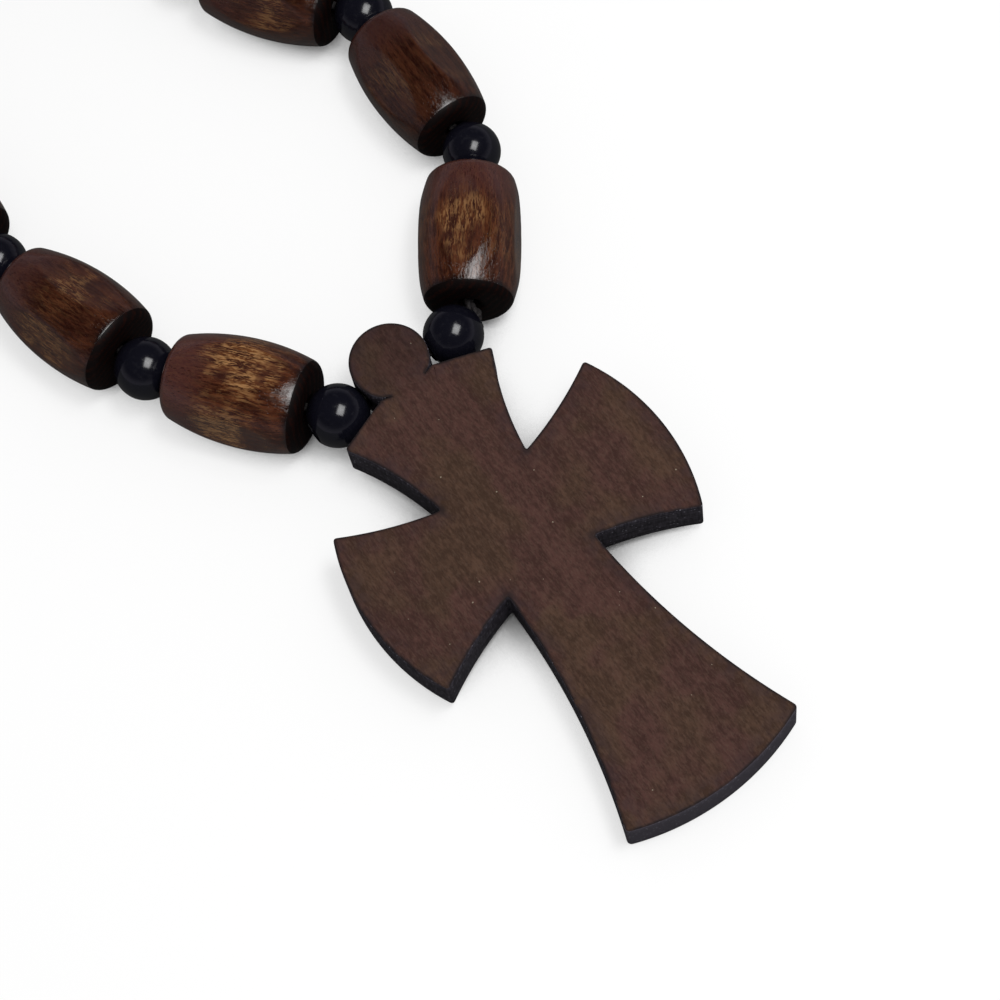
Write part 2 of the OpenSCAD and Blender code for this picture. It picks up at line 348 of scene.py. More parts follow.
def cross_outline():
    """The outline of the cross, clockwise from the top of the knob, about its middle."""
    knob_y = KNOB_HOLE_Y + KNOB_HOLE_DROP
    slope = (HEAD_TIP[1] - NECK[1]) / (HEAD_TIP[0] - NECK[0])
    # Where the round knob meets the sloping top of the head.
    lift = NECK[1] - slope * NECK[0] - knob_y
    squares = 1 + slope * slope
    root = math.sqrt((slope * lift) ** 2 - squares * (lift * lift - KNOB_RADIUS ** 2))
    meet_x = max((root - slope * lift) / squares, NECK[0])
    meet = (meet_x, NECK[1] + slope * (meet_x - NECK[0]))
    start, end = math.pi / 2, math.atan2(meet[1] - knob_y, meet[0])
    angles = [start + (end - start) * i / KNOB_STEPS for i in range(KNOB_STEPS)]
    half = [np.array((KNOB_RADIUS * math.cos(a), knob_y + KNOB_RADIUS * math.sin(a))) for a in angles]
    half += [np.array(meet), np.array(SLIT_TIP)]
    slope_start = (meet[0] + SLIT_WIDTH, meet[1] + slope * SLIT_WIDTH)
    corners = {}
    # Each corner, the next one, the rise of the edge between them, its steps, and the corner's round.
    for tip, following, rise, steps, reach in (
        (slope_start, HEAD_TIP, 0, 12, 0.06),
        (HEAD_TIP, WAIST, -HEAD_HOLLOW, 24, 0.45),
        (WAIST, ARM_TIP, -ARM_HOLLOW, 24, 0.30),
        (ARM_TIP, (ARM_TIP[0], -ARM_TIP[1]), ARM_REACH, 48, 0.40),
        ((ARM_TIP[0], -ARM_TIP[1]), (WAIST[0], -WAIST[1]), -ARM_HOLLOW, 24, 0.40),
        ((WAIST[0], -WAIST[1]), (FOOT_TIP[0], -FOOT_TIP[1]), -FOOT_HOLLOW, 56, 0.30),
        ((FOOT_TIP[0], -FOOT_TIP[1]), (0, -CROSS_FOOT_Y), None, 25, 0.50),
    ):
        corners[len(half)] = reach
        if rise is None:
            whole = arc(tip, (-tip[0], tip[1]), FOOT_RISE, 2 * steps)
            half += whole[:steps] + [np.array((0.0, -CROSS_FOOT_Y))]
        elif rise == 0:
            run = np.array(following) - np.array(tip)
            half += [np.array(tip) + run * i / steps for i in range(steps)]
        else:
            half += arc(tip, following, rise, steps)
    # The left half mirrors the right one.
    size = len(half)
    whole = half + [np.array((-p[0], p[1])) for p in reversed(half[1:-1])]
    corners.update({(2 * (size - 1) - i): reach for i, reach in list(corners.items())})
    return soften(whole, corners)


def moved_in(outline, by):
    """The same outline, moved inwards."""
    before, after = np.roll(outline, 1, 0), np.roll(outline, -1, 0)
    along = after - before
    along /= np.hypot(along[:, 0], along[:, 1])[:, None]
    return outline + by * np.stack((along[:, 1], -along[:, 0]), 1)


def note(mesh, name, values):
    """Stores one number, or one vector, for each point of a mesh."""
    values = np.asarray(values, np.float32)
    kind, field = ("FLOAT", "value") if values.ndim == 1 else ("FLOAT_VECTOR", "vector")
    mesh.attributes.new(name, kind, "POINT").data.foreach_set(field, values.ravel())


outline = cross_outline()
size = len(outline)
half_thick = CROSS_THICK / 2
rings = [
    (moved_in(outline, BURNT_RING), -half_thick),
    (moved_in(outline, EDGE_ROUND), -half_thick),
    (moved_in(outline, EDGE_MIDDLE), -half_thick + EDGE_MIDDLE),
    (outline, -half_thick + EDGE_ROUND),
]
rings += [(outline, height) for height in (-1.1, 0.0, 1.1)]
rings += [(ring, -height) for ring, height in reversed(rings[:4])]
points = [(x, y, height) for ring, height in rings for x, y in ring]
faces = [(j * size + i, (j + 1) * size + i, (j + 1) * size + (i + 1) % size, j * size + (i + 1) % size)
    for j in range(len(rings) - 1) for i in range(size)]
faces.append(tuple(range(size)))
faces.append(tuple(reversed(range((len(rings) - 1) * size, len(rings) * size))))
board = make_piece("laser_cut_cross", points, faces)

# Cuts across both faces give them points that can hold how far the edge is.
shape = bmesh.new()
shape.from_mesh(board.data)
bmesh.ops.recalc_face_normals(shape, faces=shape.faces)
for axis, places in ((0, np.arange(-15, 15.1, 1.25)), (1, np.arange(-30, 23.1, 1.25))):
    for at in places:
        flat_faces = [f for f in shape.faces if abs(f.normal.z) > 0.999]
        cut = flat_faces + list({e for f in flat_faces for e in f.edges})
        cut += list({v for f in flat_faces for v in f.verts})
        origin, normal = [0, 0, 0], [0, 0, 0]
        origin[axis], normal[axis] = at, 1
        bmesh.ops.bisect_plane(shape, geom=cut, dist=1e-4, plane_co=origin, plane_no=normal)
shape.to_mesh(board.data)
shape.free()

# The drill for the knob, a little wider at both mouths.
drill_half = [(3.5, KNOB_HOLE_RADIUS), (3.79, KNOB_MOUTH_RADIUS), (6.0, 2.2)]
drill_profile = [(-x, r) for x, r in reversed(drill_half)] + drill_half
n = DRILL_SIDES
angles = [2 * math.pi * k / n for k in range(n)]
points = [(x, KNOB_HOLE_Y + r * math.cos(a), r * math.sin(a)) for x, r in drill_profile for a in angles]
faces = [(j * n + k, j * n + (k + 1) % n, (j + 1) * n + (k + 1) % n, (j + 1) * n + k)
    for j in range(len(drill_profile) - 1) for k in range(n)]
faces += [tuple(reversed(range(n))), tuple(range(len(points) - n, len(points)))]
drill = make_piece("drill", points, faces)
shape = bmesh.new()
shape.from_mesh(drill.data)
bmesh.ops.recalc_face_normals(shape, faces=shape.faces)
shape.to_mesh(drill.data)
shape.free()
drilled = board.modifiers.new("drilled", "BOOLEAN")
drilled.operation, drilled.object, drilled.solver = "DIFFERENCE", drill, "EXACT"
bpy.context.view_layer.update()
cut_mesh = bpy.data.meshes.new_from_object(board.evaluated_get(bpy.context.evaluated_depsgraph_get()))
board.modifiers.clear()
board.data = cut_mesh
bpy.data.objects.remove(drill)

# Each point learns how far it is from the outline, and how far round the outline it stands.
places = np.empty(len(cut_mesh.vertices) * 3, np.float32)
cut_mesh.vertices.foreach_get("co", places)
places = places.reshape(-1, 3)
starts, ends = outline, np.roll(outline, -1, 0)
runs = np.concatenate(([0], np.cumsum(np.hypot(*(ends - starts).T))))
spans = ends - starts
toward = places[:, None, :2] - starts[None]
share = np.clip((toward * spans[None]).sum(2) / (spans * spans).sum(1)[None], 0, 1)
away = np.hypot(*np.moveaxis(toward - share[..., None] * spans[None], 2, 0))
nearest = away.argmin(1)
rows = np.arange(len(places))
note(cut_mesh, "edge_mm", np.minimum(away[rows, nearest], 4.0))
round_mm = runs[nearest] + share[rows, nearest] * (runs[nearest + 1] - runs[nearest])
note(cut_mesh, "wall_mm", np.stack((round_mm, places[:, 2], np.zeros(len(places))), 1))
in_bore = np.hypot(places[:, 1] - KNOB_HOLE_Y, places[:, 2]) < 1.3
note(cut_mesh, "bore", (in_bore & (np.abs(places[:, 2]) < 1.4) & (places[:, 1] > 18)).astype(float))
note(cut_mesh, "board_mm", places + np.array(BOARD_SHIFT))
cut_mesh.transform(Matrix.Scale(MM, 4))
cut_mesh.set_sharp_from_angle(angle=math.radians(50))

# The cross hangs on the cord and leans on the end of its foot.
hole = (right_bends[0] + left_bends[0]) / 2
foot_arm = KNOB_HOLE_Y + CROSS_FOOT_Y
lean = math.asin(hole.z / MM / math.hypot(foot_arm, half_thick)) - math.atan(half_thick / foot_arm)
down_to_hole = Matrix.Translation((0, -KNOB_HOLE_Y * MM, 0))
board.matrix_world = Matrix.Translation(hole) @ Matrix.Rotation(lean, 4, "X") @ down_to_hole


def noted(tree, name, output="Fac"):
    """What note() has stored for each point of a mesh."""
    return put(tree, "ShaderNodeAttribute", attribute_name=name).outputs[output]


def parts_of(tree, vector):
    """The X, Y and Z of a vector."""
    return put(tree, "ShaderNodeSeparateXYZ", {0: vector}).outputs


def length_of(tree, vector):
    return put(tree, "ShaderNodeVectorMath", {0: vector}, operation="LENGTH").outputs["Value"]


def between_numbers(tree, share, first, second):
    mixed = put(tree, "ShaderNodeMix", {0: share, 2: first, 3: second}, data_type="FLOAT")
    return mixed.outputs[0]


def sums(tree, operation, first, second=0.0, clamp=False):
    """Arithmetic on numbers."""
    values = {0: first, 1: second}
    return put(tree, "ShaderNodeMath", values, operation=operation, use_clamp=clamp).outputs[0]


def weighed(tree, *terms):
    """Adds up values, each of them times its own share."""
    parts = [sums(tree, "MULTIPLY", value, share) for value, share in terms]
    total = parts[0]
    for part in parts[1:]:
        total = sums(tree, "ADD", total, part)
    return total


def group_of(name, inputs, outputs):
    """A new node group with its named sockets, and its two end nodes."""
    tree = bpy.data.node_groups.new(name, "ShaderNodeTree")
    for title, kind, value in inputs:
        socket = tree.interface.new_socket(title, in_out="INPUT", socket_type=kind)
        if value is not None:
            socket.default_value = value
    for title, kind in outputs:
        tree.interface.new_socket(title, in_out="OUTPUT", socket_type=kind)
    return tree, tree.nodes.new("NodeGroupInput"), tree.nodes.new("NodeGroupOutput")


def use_group(tree, group, values):
    return put(tree, "ShaderNodeGroup", values, node_tree=group).outputs


# Fibres, growth bands, pores and slow changes of tone, for wood whose fibres run along Z, in mm.
wood_group, wood_in, wood_out = group_of("wood_figure",
    [("Place", "NodeSocketVector", None), ("Fibre Width", "NodeSocketFloat", 0.2),
        ("Fibre Length", "NodeSocketFloat", 3.0), ("Pith", "NodeSocketVector", (20.0, 6.0, 0.0)),
        ("Band Width", "NodeSocketFloat", 1.6)],
    [("Fibre", "NodeSocketFloat"), ("Fleck", "NodeSocketFloat"), ("Pore", "NodeSocketFloat"),
        ("Band", "NodeSocketFloat"), ("Tone", "NodeSocketFloat")])
tree, given = wood_group, wood_in.outputs
sizes = put(tree, "ShaderNodeCombineXYZ",
    {"X": given["Fibre Width"], "Y": given["Fibre Width"], "Z": given["Fibre Length"]}).outputs[0]
stretched = vectors(tree, "DIVIDE", given["Place"], sizes)
fibre = lumps(tree, stretched, 0.6, 4.0, Roughness=0.62)
tree.links.new(ramp(tree, fibre, 0.3, 0.7), wood_out.inputs["Fibre"])
broken = lumps(tree, stretched, 1.1, 2.5, Roughness=0.55, Distortion=0.6)
tree.links.new(ramp(tree, broken, 0.50, 0.62), wood_out.inputs["Fleck"])
pores = put(tree, "ShaderNodeTexVoronoi", {"Vector": stretched, "Scale": 0.9, "Randomness": 1.0})
tree.links.new(ramp(tree, pores.outputs["Distance"], 0.10, 0.26, 1.0, 0.0), wood_out.inputs["Pore"])
slow = lumps(tree, given["Place"], 0.16, 2.0)
from_pith = vectors(tree, "SUBTRACT", given["Place"], given["Pith"])
from_pith = length_of(tree, vectors(tree, "MULTIPLY", from_pith, (1.0, 1.0, 0.02)))
ring = sums(tree, "DIVIDE", from_pith, given["Band Width"])
ring = sums(tree, "ADD", ring, sums(tree, "MULTIPLY", slow, 2.4))
wave = sums(tree, "SINE", sums(tree, "MULTIPLY", ring, 2 * math.pi))
tree.links.new(ramp(tree, wave, -0.9, 1.0), wood_out.inputs["Band"])
tree.links.new(ramp(tree, slow, 0.36, 0.64), wood_out.inputs["Tone"])

# Scattered grains, such as dust on a face or crystals of char on a cut, which there are also painted
# pale as glints.
grain_group, grain_in, grain_out = group_of("scattered_grains",
    [("Place", "NodeSocketVector", None), ("Spacing", "NodeSocketFloat", 0.3),
        ("Share", "NodeSocketFloat", 0.1), ("Radius", "NodeSocketFloat", 0.3)],
    [("Grain", "NodeSocketFloat")])
tree, given = grain_group, grain_in.outputs
spaced = vectors(tree, "SCALE", given["Place"], sums(tree, "DIVIDE", 1.0, given["Spacing"]))
cells = put(tree, "ShaderNodeTexVoronoi", {"Vector": spaced, "Scale": 1.0, "Randomness": 1.0}).outputs
chance = put(tree, "ShaderNodeSeparateColor", {0: cells["Color"]}).outputs[0]
picked = sums(tree, "LESS_THAN", chance, given["Share"])
near = sums(tree, "LESS_THAN", cells["Distance"], given["Radius"])
tree.links.new(sums(tree, "MULTIPLY", picked, near), grain_out.inputs["Grain"])

stained_board, tree, shader = finish_of("stained_walnut_board")
place, wall_place = noted(tree, "board_mm", "Vector"), noted(tree, "wall_mm", "Vector")
edge, bore = noted(tree, "edge_mm"), noted(tree, "bore")
upright = sums(tree, "ABSOLUTE", parts_of(tree, put(tree, "ShaderNodeTexCoord").outputs["Normal"])["Z"])
face = sums(tree, "MULTIPLY", ramp(tree, upright, 0.55, 0.9), sums(tree, "SUBTRACT", 1.0, bore))

# The fibres run up the cross, so Y becomes the group's Z.
along_board = parts_of(tree, place)
up_the_board = put(tree, "ShaderNodeCombineXYZ",
    {"X": along_board["X"], "Y": along_board["Z"], "Z": along_board["Y"]}).outputs[0]
board_wood = {"Place": up_the_board, "Pith": (3.0, -24.0, 0.0), "Band Width": 2.6}
wood = use_group(tree, wood_group, {**board_wood, "Fibre Width": 0.17, "Fibre Length": 0.52})
long_wood = use_group(tree, wood_group, {**board_wood, "Fibre Width": 0.5, "Fibre Length": 9.0})
tint = between(tree, ramp(tree, wood["Tone"], 0.2, 1.0), STAIN_RED_COLOUR, STAIN_OLIVE_COLOUR)
colour = between(tree, 0.7, STAIN_COLOUR, tint)
mottle = ramp(tree, lumps(tree, place, 0.9, 4.0, Roughness=0.6), 0.3, 0.7)
shade = weighed(tree,
    (wood["Fibre"], 0.50), (long_wood["Fibre"], 0.34), (mottle, 0.28), (long_wood["Band"], 0.10))
lit = vectors(tree, "SCALE", colour, ramp(tree, shade, 0.28, 1.02, 0.72, 1.26))
lit = between(tree, sums(tree, "MULTIPLY", wood["Pore"], 0.5), lit, STAIN_PORE_COLOUR)
lit = between(tree, sums(tree, "MULTIPLY", wood["Fleck"], 0.2), lit, STAIN_FLECK_COLOUR)
dust = use_group(tree, grain_group, {"Place": place, "Spacing": 0.8, "Share": 0.08, "Radius": 0.09})
lit = between(tree, sums(tree, "MULTIPLY", dust["Grain"], 0.6), lit, DUST_COLOUR)
# The knob is darker, smoked by the cut that runs close round it.
lit = vectors(tree, "SCALE", lit, ramp(tree, along_board["Y"], 19.5, 22.5, 1.0, 0.72))

# The burn fades from the edge inwards: a thin black line, then a faint brown haze.
rough_edge = lumps(tree, place, 0.9, 3.0)
haze = sums(tree, "MULTIPLY", ramp(tree, edge, 0.2, 2.4, 0.55, 0.0), ramp(tree, rough_edge, 0.35, 0.65))
broken_line = ramp(tree, rough_edge, 0.3, 0.6, 0.45, 1.0)
line = sums(tree, "MULTIPLY", ramp(tree, edge, 0.08, 0.36, 1.0, 0.0), broken_line)
# The beam turns back in the four inner corners and burns them most.
from_corner = vectors(tree, "SUBTRACT", place, BOARD_SHIFT)
from_corner = vectors(tree, "SUBTRACT", vectors(tree, "ABSOLUTE", from_corner), (*WAIST, 0))
from_corner = length_of(tree, vectors(tree, "MULTIPLY", from_corner, (1, 1, 0)))
line = sums(tree, "MAXIMUM", line, ramp(tree, from_corner, 0.20, 0.85, 0.60, 0.0))
lit = between(tree, haze, lit, BURNT_HAZE_COLOUR)
lit = between(tree, line, lit, BURNT_LINE_COLOUR)

# On the walls the char is streaked up and down by the cut, with bright grains in it that are partly
# crystals of char and partly painted glints.
cut_streaks = lumps(tree, vectors(tree, "MULTIPLY", wall_place, (5.0, 0.7, 1.0)), 1.0, 3.0)
long_streaks = lumps(tree, vectors(tree, "MULTIPLY", wall_place, (0.35, 4.0, 1.0)), 1.0, 2.0)
crystals_and_painted_glints = use_group(tree, grain_group, {"Place": place, "Spacing": 0.30, "Share": 0.28, "Radius": 0.26})
ash_and_painted_sheen = ramp(tree, sums(tree, "ADD", cut_streaks, long_streaks), 0.75, 1.30, 0.08, 0.80)
# The end wall of the foot is painted a lighter grey, a painted reflection of the pale room.
foot_end_painted_sheen = ramp(tree, along_board["Y"], -25.2, -26.4)
ash_and_painted_sheen = sums(tree, "ADD", ash_and_painted_sheen, sums(tree, "MULTIPLY", foot_end_painted_sheen, 0.80), clamp=True)
charred = between(tree, ash_and_painted_sheen, CHAR_COLOUR, CHAR_GREY_AND_SHEEN_COLOUR)
charred = between(tree, sums(tree, "MULTIPLY", crystals_and_painted_glints["Grain"], 0.40), charred, CRYSTAL_GLINT_COLOUR)
# Inside the knob's drill hole the colour is near black, a painted shade.
charred = between(tree, bore, charred, KNOB_BORE_SHADE_COLOUR)
tree.links.new(between(tree, face, charred, lit), shader.inputs["Base Color"])
rough_face = ramp(tree, shade, 0.0, 1.0, 0.82, 0.66)
rough_wall = ramp(tree, crystals_and_painted_glints["Grain"], 0.0, 1.0, 0.55, 0.2)
tree.links.new(between_numbers(tree, face, rough_wall, rough_face), shader.inputs["Roughness"])
face_height = sums(tree, "SUBTRACT", shade, sums(tree, "MULTIPLY", wood["Pore"], 0.8))
wall_height = sums(tree, "ADD", cut_streaks, crystals_and_painted_glints["Grain"])
roughen(tree, shader, between_numbers(tree, face, wall_height, face_height), 0.5, 0.02)
shader.inputs["Specular IOR Level"].default_value = 0.15

board.data.materials.clear()
board.data.materials.append(stained_board)
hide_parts("cross")
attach(board, "cross")

# ---------------------------------------------------------------------------
# Barrel beads. Turned from light wood, sanded flat on four sides, dyed red
# brown and dipped in lacquer. The dye is thin on the belly, where the fibres
# shine through as gold flecks, partly a painted sheen. The ends are black,
# partly from dye gathered there and partly painted shade, and the flats and
# far end carry a painted reflection.
# ---------------------------------------------------------------------------
BARREL_RADIUS, BARREL_END_RADIUS, BARREL_HALF = 5.15, 4.05, 7.0
BARREL_FLAT = 4.65
BARREL_RIM = 0.80
FLAT_SPREAD, FLAT_TILT, FLAT_BLEND = 0.06, 0.006, 0.10  # flats differ, lean and have soft edges
LACQUER_WAVE, DYE_DRIP = 0.018, 0.40
DULL_BELOW = -6.45
BEAD_HOLE = 1.0
# Depth and radius, from the end face round the lip of the bore and down the bore.
BARREL_MOUTH = [
    (0, 2.5), (0, 1.75), (0.03, 1.5), (0.12, 1.25), (0.3, 1.06), (0.6, BEAD_HOLE), (3.0, BEAD_HOLE),
]
BARREL_SIDES = 112
# For each bead: its turn on the cord in degrees, its girth, how much narrower its far end is on
# each side, how thin the dye is on it, from 0 to 1, and how light it is as a whole.
BARRELS = {
    "barrel_right_1": (-2, 1.02, 0.00, 0.48, 0.90),
    "barrel_right_2": (44, 0.95, 0.00, 0.28, 0.56),
    "barrel_right_3": (31, 1.00, 0.00, 0.40, 0.75),
    "barrel_right_4": (49, 1.00, 0.00, 0.70, 0.90),
    "barrel_right_5": (36, 1.00, 0.00, 0.40, 0.80),
    "barrel_left_1": (8, 1.03, 0.22, 1.00, 0.98),
    "barrel_left_2": (27, 1.00, 0.45, 0.42, 0.70),
    "barrel_left_3": (40, 1.00, 0.00, 0.50, 0.70),
    "barrel_left_4": (52, 1.00, 0.00, 0.85, 0.90),
    "barrel_left_5": (34, 1.00, 0.00, 0.55, 0.75),
}
BARREL_PITH = (9.0, 4.0, 0.0)  # the middle of the tree that the beads are cut from, in mm
DYE_DEEP_COLOUR = (0.0260, 0.0045, 0.0016, 1)
DYE_BROWN_COLOUR = (0.0820, 0.0225, 0.0095, 1)
PAINTED_SHEEN_MAUVE_COLOUR = (0.0780, 0.0260, 0.0225, 1)
DYE_AMBER_COLOUR = (0.1450, 0.0490, 0.0120, 1)
GOLD_FLECK_AND_SHEEN_COLOUR = (0.3900, 0.2000, 0.0780, 1)
END_DYE_AND_SHADE_COLOUR = (0.0035, 0.0022, 0.0022, 1)


def lying_along(heading):
    """Lays a bead that is made upright on the table, with its far end towards the heading."""
    laid_down = Matrix.Rotation(-math.pi / 2, 4, "X")
    return Matrix.Rotation(-math.atan2(heading.x, heading.y), 4, "Z") @ laid_down


def belly(z):
    """The radius of a barrel at a height, on one arc from end to end."""
    drop = BARREL_RADIUS - BARREL_END_RADIUS
    arc_radius = (BARREL_HALF ** 2 + drop ** 2) / (2 * drop)
    return BARREL_RADIUS - arc_radius + math.sqrt(arc_radius ** 2 - z * z)


def barrel_profile():
    """From one end over the belly and back through the bore: height, and inset or radius.

    The outside has an inset from the belly and no radius. The ends and the bore have a radius.
    """
    straight = BARREL_HALF - BARREL_RIM
    rim = [(straight + BARREL_RIM * math.sin(t), BARREL_RIM * (1 - math.cos(t)), None)
        for t in np.linspace(0, math.pi / 2, 9)[1:]]
    outside = [(z, 0.0, None) for z in np.linspace(-straight, straight, 45)]
    outside = [(-z, inset, None) for z, inset, _ in reversed(rim)] + outside + rim
    mouth = [(BARREL_HALF - depth, None, radius) for depth, radius in BARREL_MOUTH]
    return outside + mouth + [(0.0, None, BEAD_HOLE)] + [(-z, None, r) for z, _, r in reversed(mouth)]


def ring_faces(rings, sides):
    """The faces between rings of points, each ring joined to the next and the last to the first."""
    faces = []
    for ring in range(rings):
        a, b = ring * sides, (ring + 1) % rings * sides
        for k in range(sides):
            onward = (k + 1) % sides
            faces.append((a + k, a + onward, b + onward, b + k))
    return faces


def shape_barrel(name, seed, size, taper, thin_dye, light):
    chance = np.random.RandomState(seed)
    flats = BARREL_FLAT - FLAT_SPREAD * chance.rand(4)
    tilts = FLAT_TILT * chance.uniform(-0.35, 0.35, 4)
    points, flatness, ending = [], [], []
    profile = barrel_profile()
    for z, inset, radius in profile:
        for k in range(BARREL_SIDES):
            angle = 2 * math.pi * k / BARREL_SIDES
            flat_share = 0.0
            if radius is None:
                side = int(round(angle / (math.pi / 2))) % 4
                off = angle - side * math.pi / 2
                off = (off + math.pi) % (2 * math.pi) - math.pi
                plane = flats[side] / math.cos(off) + tilts[side] * z
                plane -= 0.5 * taper * z / BARREL_HALF
                full = belly(z) - taper * z / BARREL_HALF
                # A soft minimum, because sanding and lacquer round the edge of each flat.
                blend = max(0.0, 1 - abs(full - plane) / FLAT_BLEND)
                r = min(full, plane) - FLAT_BLEND * blend * blend / 4 - inset
                flat_share = min(1.0, max(0.0, (full - plane + 0.03) / 0.12))
                spot = Vector((math.cos(angle) * 1.3, math.sin(angle) * 1.3, z * 0.22 + seed * 7.3))
                r -= LACQUER_WAVE * (1 + noise.noise(spot * 1.2))
            else:
                r = radius
                if 1.2 < radius < 2:
                    r += 0.05 * (1 + noise.noise(Vector((math.cos(angle), math.sin(angle), seed * 3.1))))
            points.append((r * math.cos(angle), r * math.sin(angle), z))
            flatness.append(flat_share)
            # The dark band is wide at the near end and only just reaches the other one: partly dye that
            # gathered at the end that hung lowest, and partly painted shade on the near rim.
            drip = DYE_DRIP * noise.noise(Vector((math.cos(angle) * 2, math.sin(angle) * 2, seed * 4.7)))
            dye_and_shade = max(0.0, (-z - 5.85 + drip) / 0.65, (z - 6.75) / 0.25)
            ending.append(1.0 if radius is not None else min(1.0, dye_and_shade))
    points = np.array(points) * (size, size, 1)
    piece = make_piece(name, points * MM, ring_faces(len(profile), BARREL_SIDES))
    # The end faces, the bore and the lowest rim drink the dye and stay dull. Their near black colour is
    # partly dye and partly painted shade.
    dull = [a[2] is not None or b[2] is not None or a[0] < DULL_BELOW
        for a, b in zip(profile, profile[1:] + profile[:1])]
    piece.data.polygons.foreach_set("material_index", np.repeat(dull, BARREL_SIDES).astype(np.int32))
    note(piece.data, "flat", flatness)
    note(piece.data, "dyed_and_shaded_end", ending)
    note(piece.data, "bead_mm", points)
    note(piece.data, "wood_mm", points + chance.uniform(-60, 60, 3))
    note(piece.data, "thin_dye", np.full(len(points), thin_dye))
    note(piece.data, "light", np.full(len(points), light))
    return piece


# Faint unevenness of a dipped or polished skin: slow waves, and small dull touches.
skin_group, skin_in, skin_out = group_of("polished_skin",
    [("Place", "NodeSocketVector", None), ("Wave Size", "NodeSocketFloat", 1.5)],
    [("Wave", "NodeSocketFloat"), ("Touch", "NodeSocketFloat")])
tree, given = skin_group, skin_in.outputs
spread = vectors(tree, "SCALE", given["Place"], sums(tree, "DIVIDE", 1.0, given["Wave Size"]))
tree.links.new(lumps(tree, spread, 1.0, 1.5), skin_out.inputs["Wave"])
touch = lumps(tree, spread, 2.7, 4.0, Roughness=0.65)
tree.links.new(ramp(tree, touch, 0.5, 0.75), skin_out.inputs["Touch"])

lacquered, tree, shader = finish_of("lacquered_bead_wood")
place = noted(tree, "wood_mm", "Vector")
height = parts_of(tree, noted(tree, "bead_mm", "Vector"))["Z"]
flat, dyed_and_shaded_end = noted(tree, "flat"), noted(tree, "dyed_and_shaded_end")
bead_wood = {"Place": place, "Pith": BARREL_PITH, "Band Width": 1.15}
wood = use_group(tree, wood_group, {**bead_wood, "Fibre Width": 0.24, "Fibre Length": 1.9})
fine_wood = use_group(tree, wood_group, {**bead_wood, "Fibre Width": 0.15, "Fibre Length": 0.70})
figure = weighed(tree, (wood["Fibre"], 0.44), (fine_wood["Fibre"], 0.36), (wood["Band"], 0.20))
colour = between(tree, ramp(tree, figure, 0.20, 0.84), DYE_DEEP_COLOUR, DYE_BROWN_COLOUR)
# A painted reflection of the pale room: a pale mauve, a little on the flats and much towards the far
# end.
far_end = ramp(tree, height, 0.5, 5.0)
dull = sums(tree, "MAXIMUM", sums(tree, "MULTIPLY", flat, 0.15), sums(tree, "MULTIPLY", far_end, 0.70))
colour = between(tree, dull, colour, PAINTED_SHEEN_MAUVE_COLOUR)
# The dye is thin in patches round the middle of the bead, and most on the flats.
from_middle = sums(tree, "ABSOLUTE", sums(tree, "ADD", height, 0.8))
patches = ramp(tree, lumps(tree, place, 0.30, 3.0), 0.36, 0.58, 0.1, 1.0)
thin_dye = sums(tree, "MULTIPLY", ramp(tree, from_middle, 1.8, 5.6, 1.0, 0.0), patches)
thin_dye = sums(tree, "MULTIPLY", thin_dye, ramp(tree, flat, 0.0, 1.0, 0.40, 1.0))
thin_dye = sums(tree, "MULTIPLY", thin_dye, noted(tree, "thin_dye"))
amber = sums(tree, "MULTIPLY", thin_dye, ramp(tree, figure, 0.25, 0.75, 0.1, 0.85))
colour = between(tree, amber, colour, DYE_AMBER_COLOUR)
# The gold flecks where the dye is thin are partly pale fibres and partly a painted chatoyant sheen.
long_flecks = sums(tree, "MULTIPLY", wood["Fleck"], 0.95)
short_flecks = sums(tree, "MULTIPLY", fine_wood["Fleck"], 0.75)
flecks = sums(tree, "MAXIMUM", long_flecks, short_flecks)
gold_and_sheen = sums(tree, "MULTIPLY", flecks, ramp(tree, thin_dye, 0.03, 0.8, 0.05, 0.95))
colour = between(tree, gold_and_sheen, colour, GOLD_FLECK_AND_SHEEN_COLOUR)
long_cracks = sums(tree, "MULTIPLY", wood["Pore"], 0.85)
short_cracks = sums(tree, "MULTIPLY", fine_wood["Pore"], 0.65)
cracks = sums(tree, "MAXIMUM", short_cracks, long_cracks)
colour = between(tree, cracks, colour, DYE_DEEP_COLOUR)
colour = vectors(tree, "SCALE", colour, noted(tree, "light"))
# The near black at the ends is partly dye and partly painted shade.
colour = between(tree, dyed_and_shaded_end, colour, END_DYE_AND_SHADE_COLOUR)
tree.links.new(colour, shader.inputs["Base Color"])
skin = use_group(tree, skin_group, {"Place": place, "Wave Size": 1.6})
rough = weighed(tree, (skin["Touch"], 0.08), (flat, 0.10), (far_end, 0.10))
tree.links.new(sums(tree, "ADD", rough, 0.07), shader.inputs["Roughness"])
relief = weighed(tree, (fine_wood["Fibre"], 1.0), (wood["Fibre"], 0.6), (fine_wood["Pore"], -0.6))
roughen(tree, shader, relief, 1.0, 0.019)
shader.inputs["Specular IOR Level"].default_value = 0.80
shader.inputs["Coat Weight"].default_value = 0.45
shader.inputs["Coat Roughness"].default_value = 0.14

end_grain, tree, shader = finish_of("dyed_and_shaded_end_grain")
place = noted(tree, "wood_mm", "Vector")
wood = use_group(tree, wood_group,
    {"Place": place, "Fibre Width": 0.16, "Fibre Length": 1.5, "Pith": BARREL_PITH, "Band Width": 0.8})
grain = sums(tree, "MULTIPLY", wood["Fibre"], ramp(tree, wood["Band"], 0.3, 1.0, 0.1, 0.5))
tree.links.new(between(tree, grain, END_DYE_AND_SHADE_COLOUR, DYE_DEEP_COLOUR), shader.inputs["Base Color"])
tree.links.new(ramp(tree, grain, 0, 1, 0.5, 0.3), shader.inputs["Roughness"])
roughen(tree, shader, grain, 0.6, 0.02)
shader.inputs["Specular IOR Level"].default_value = 0.12

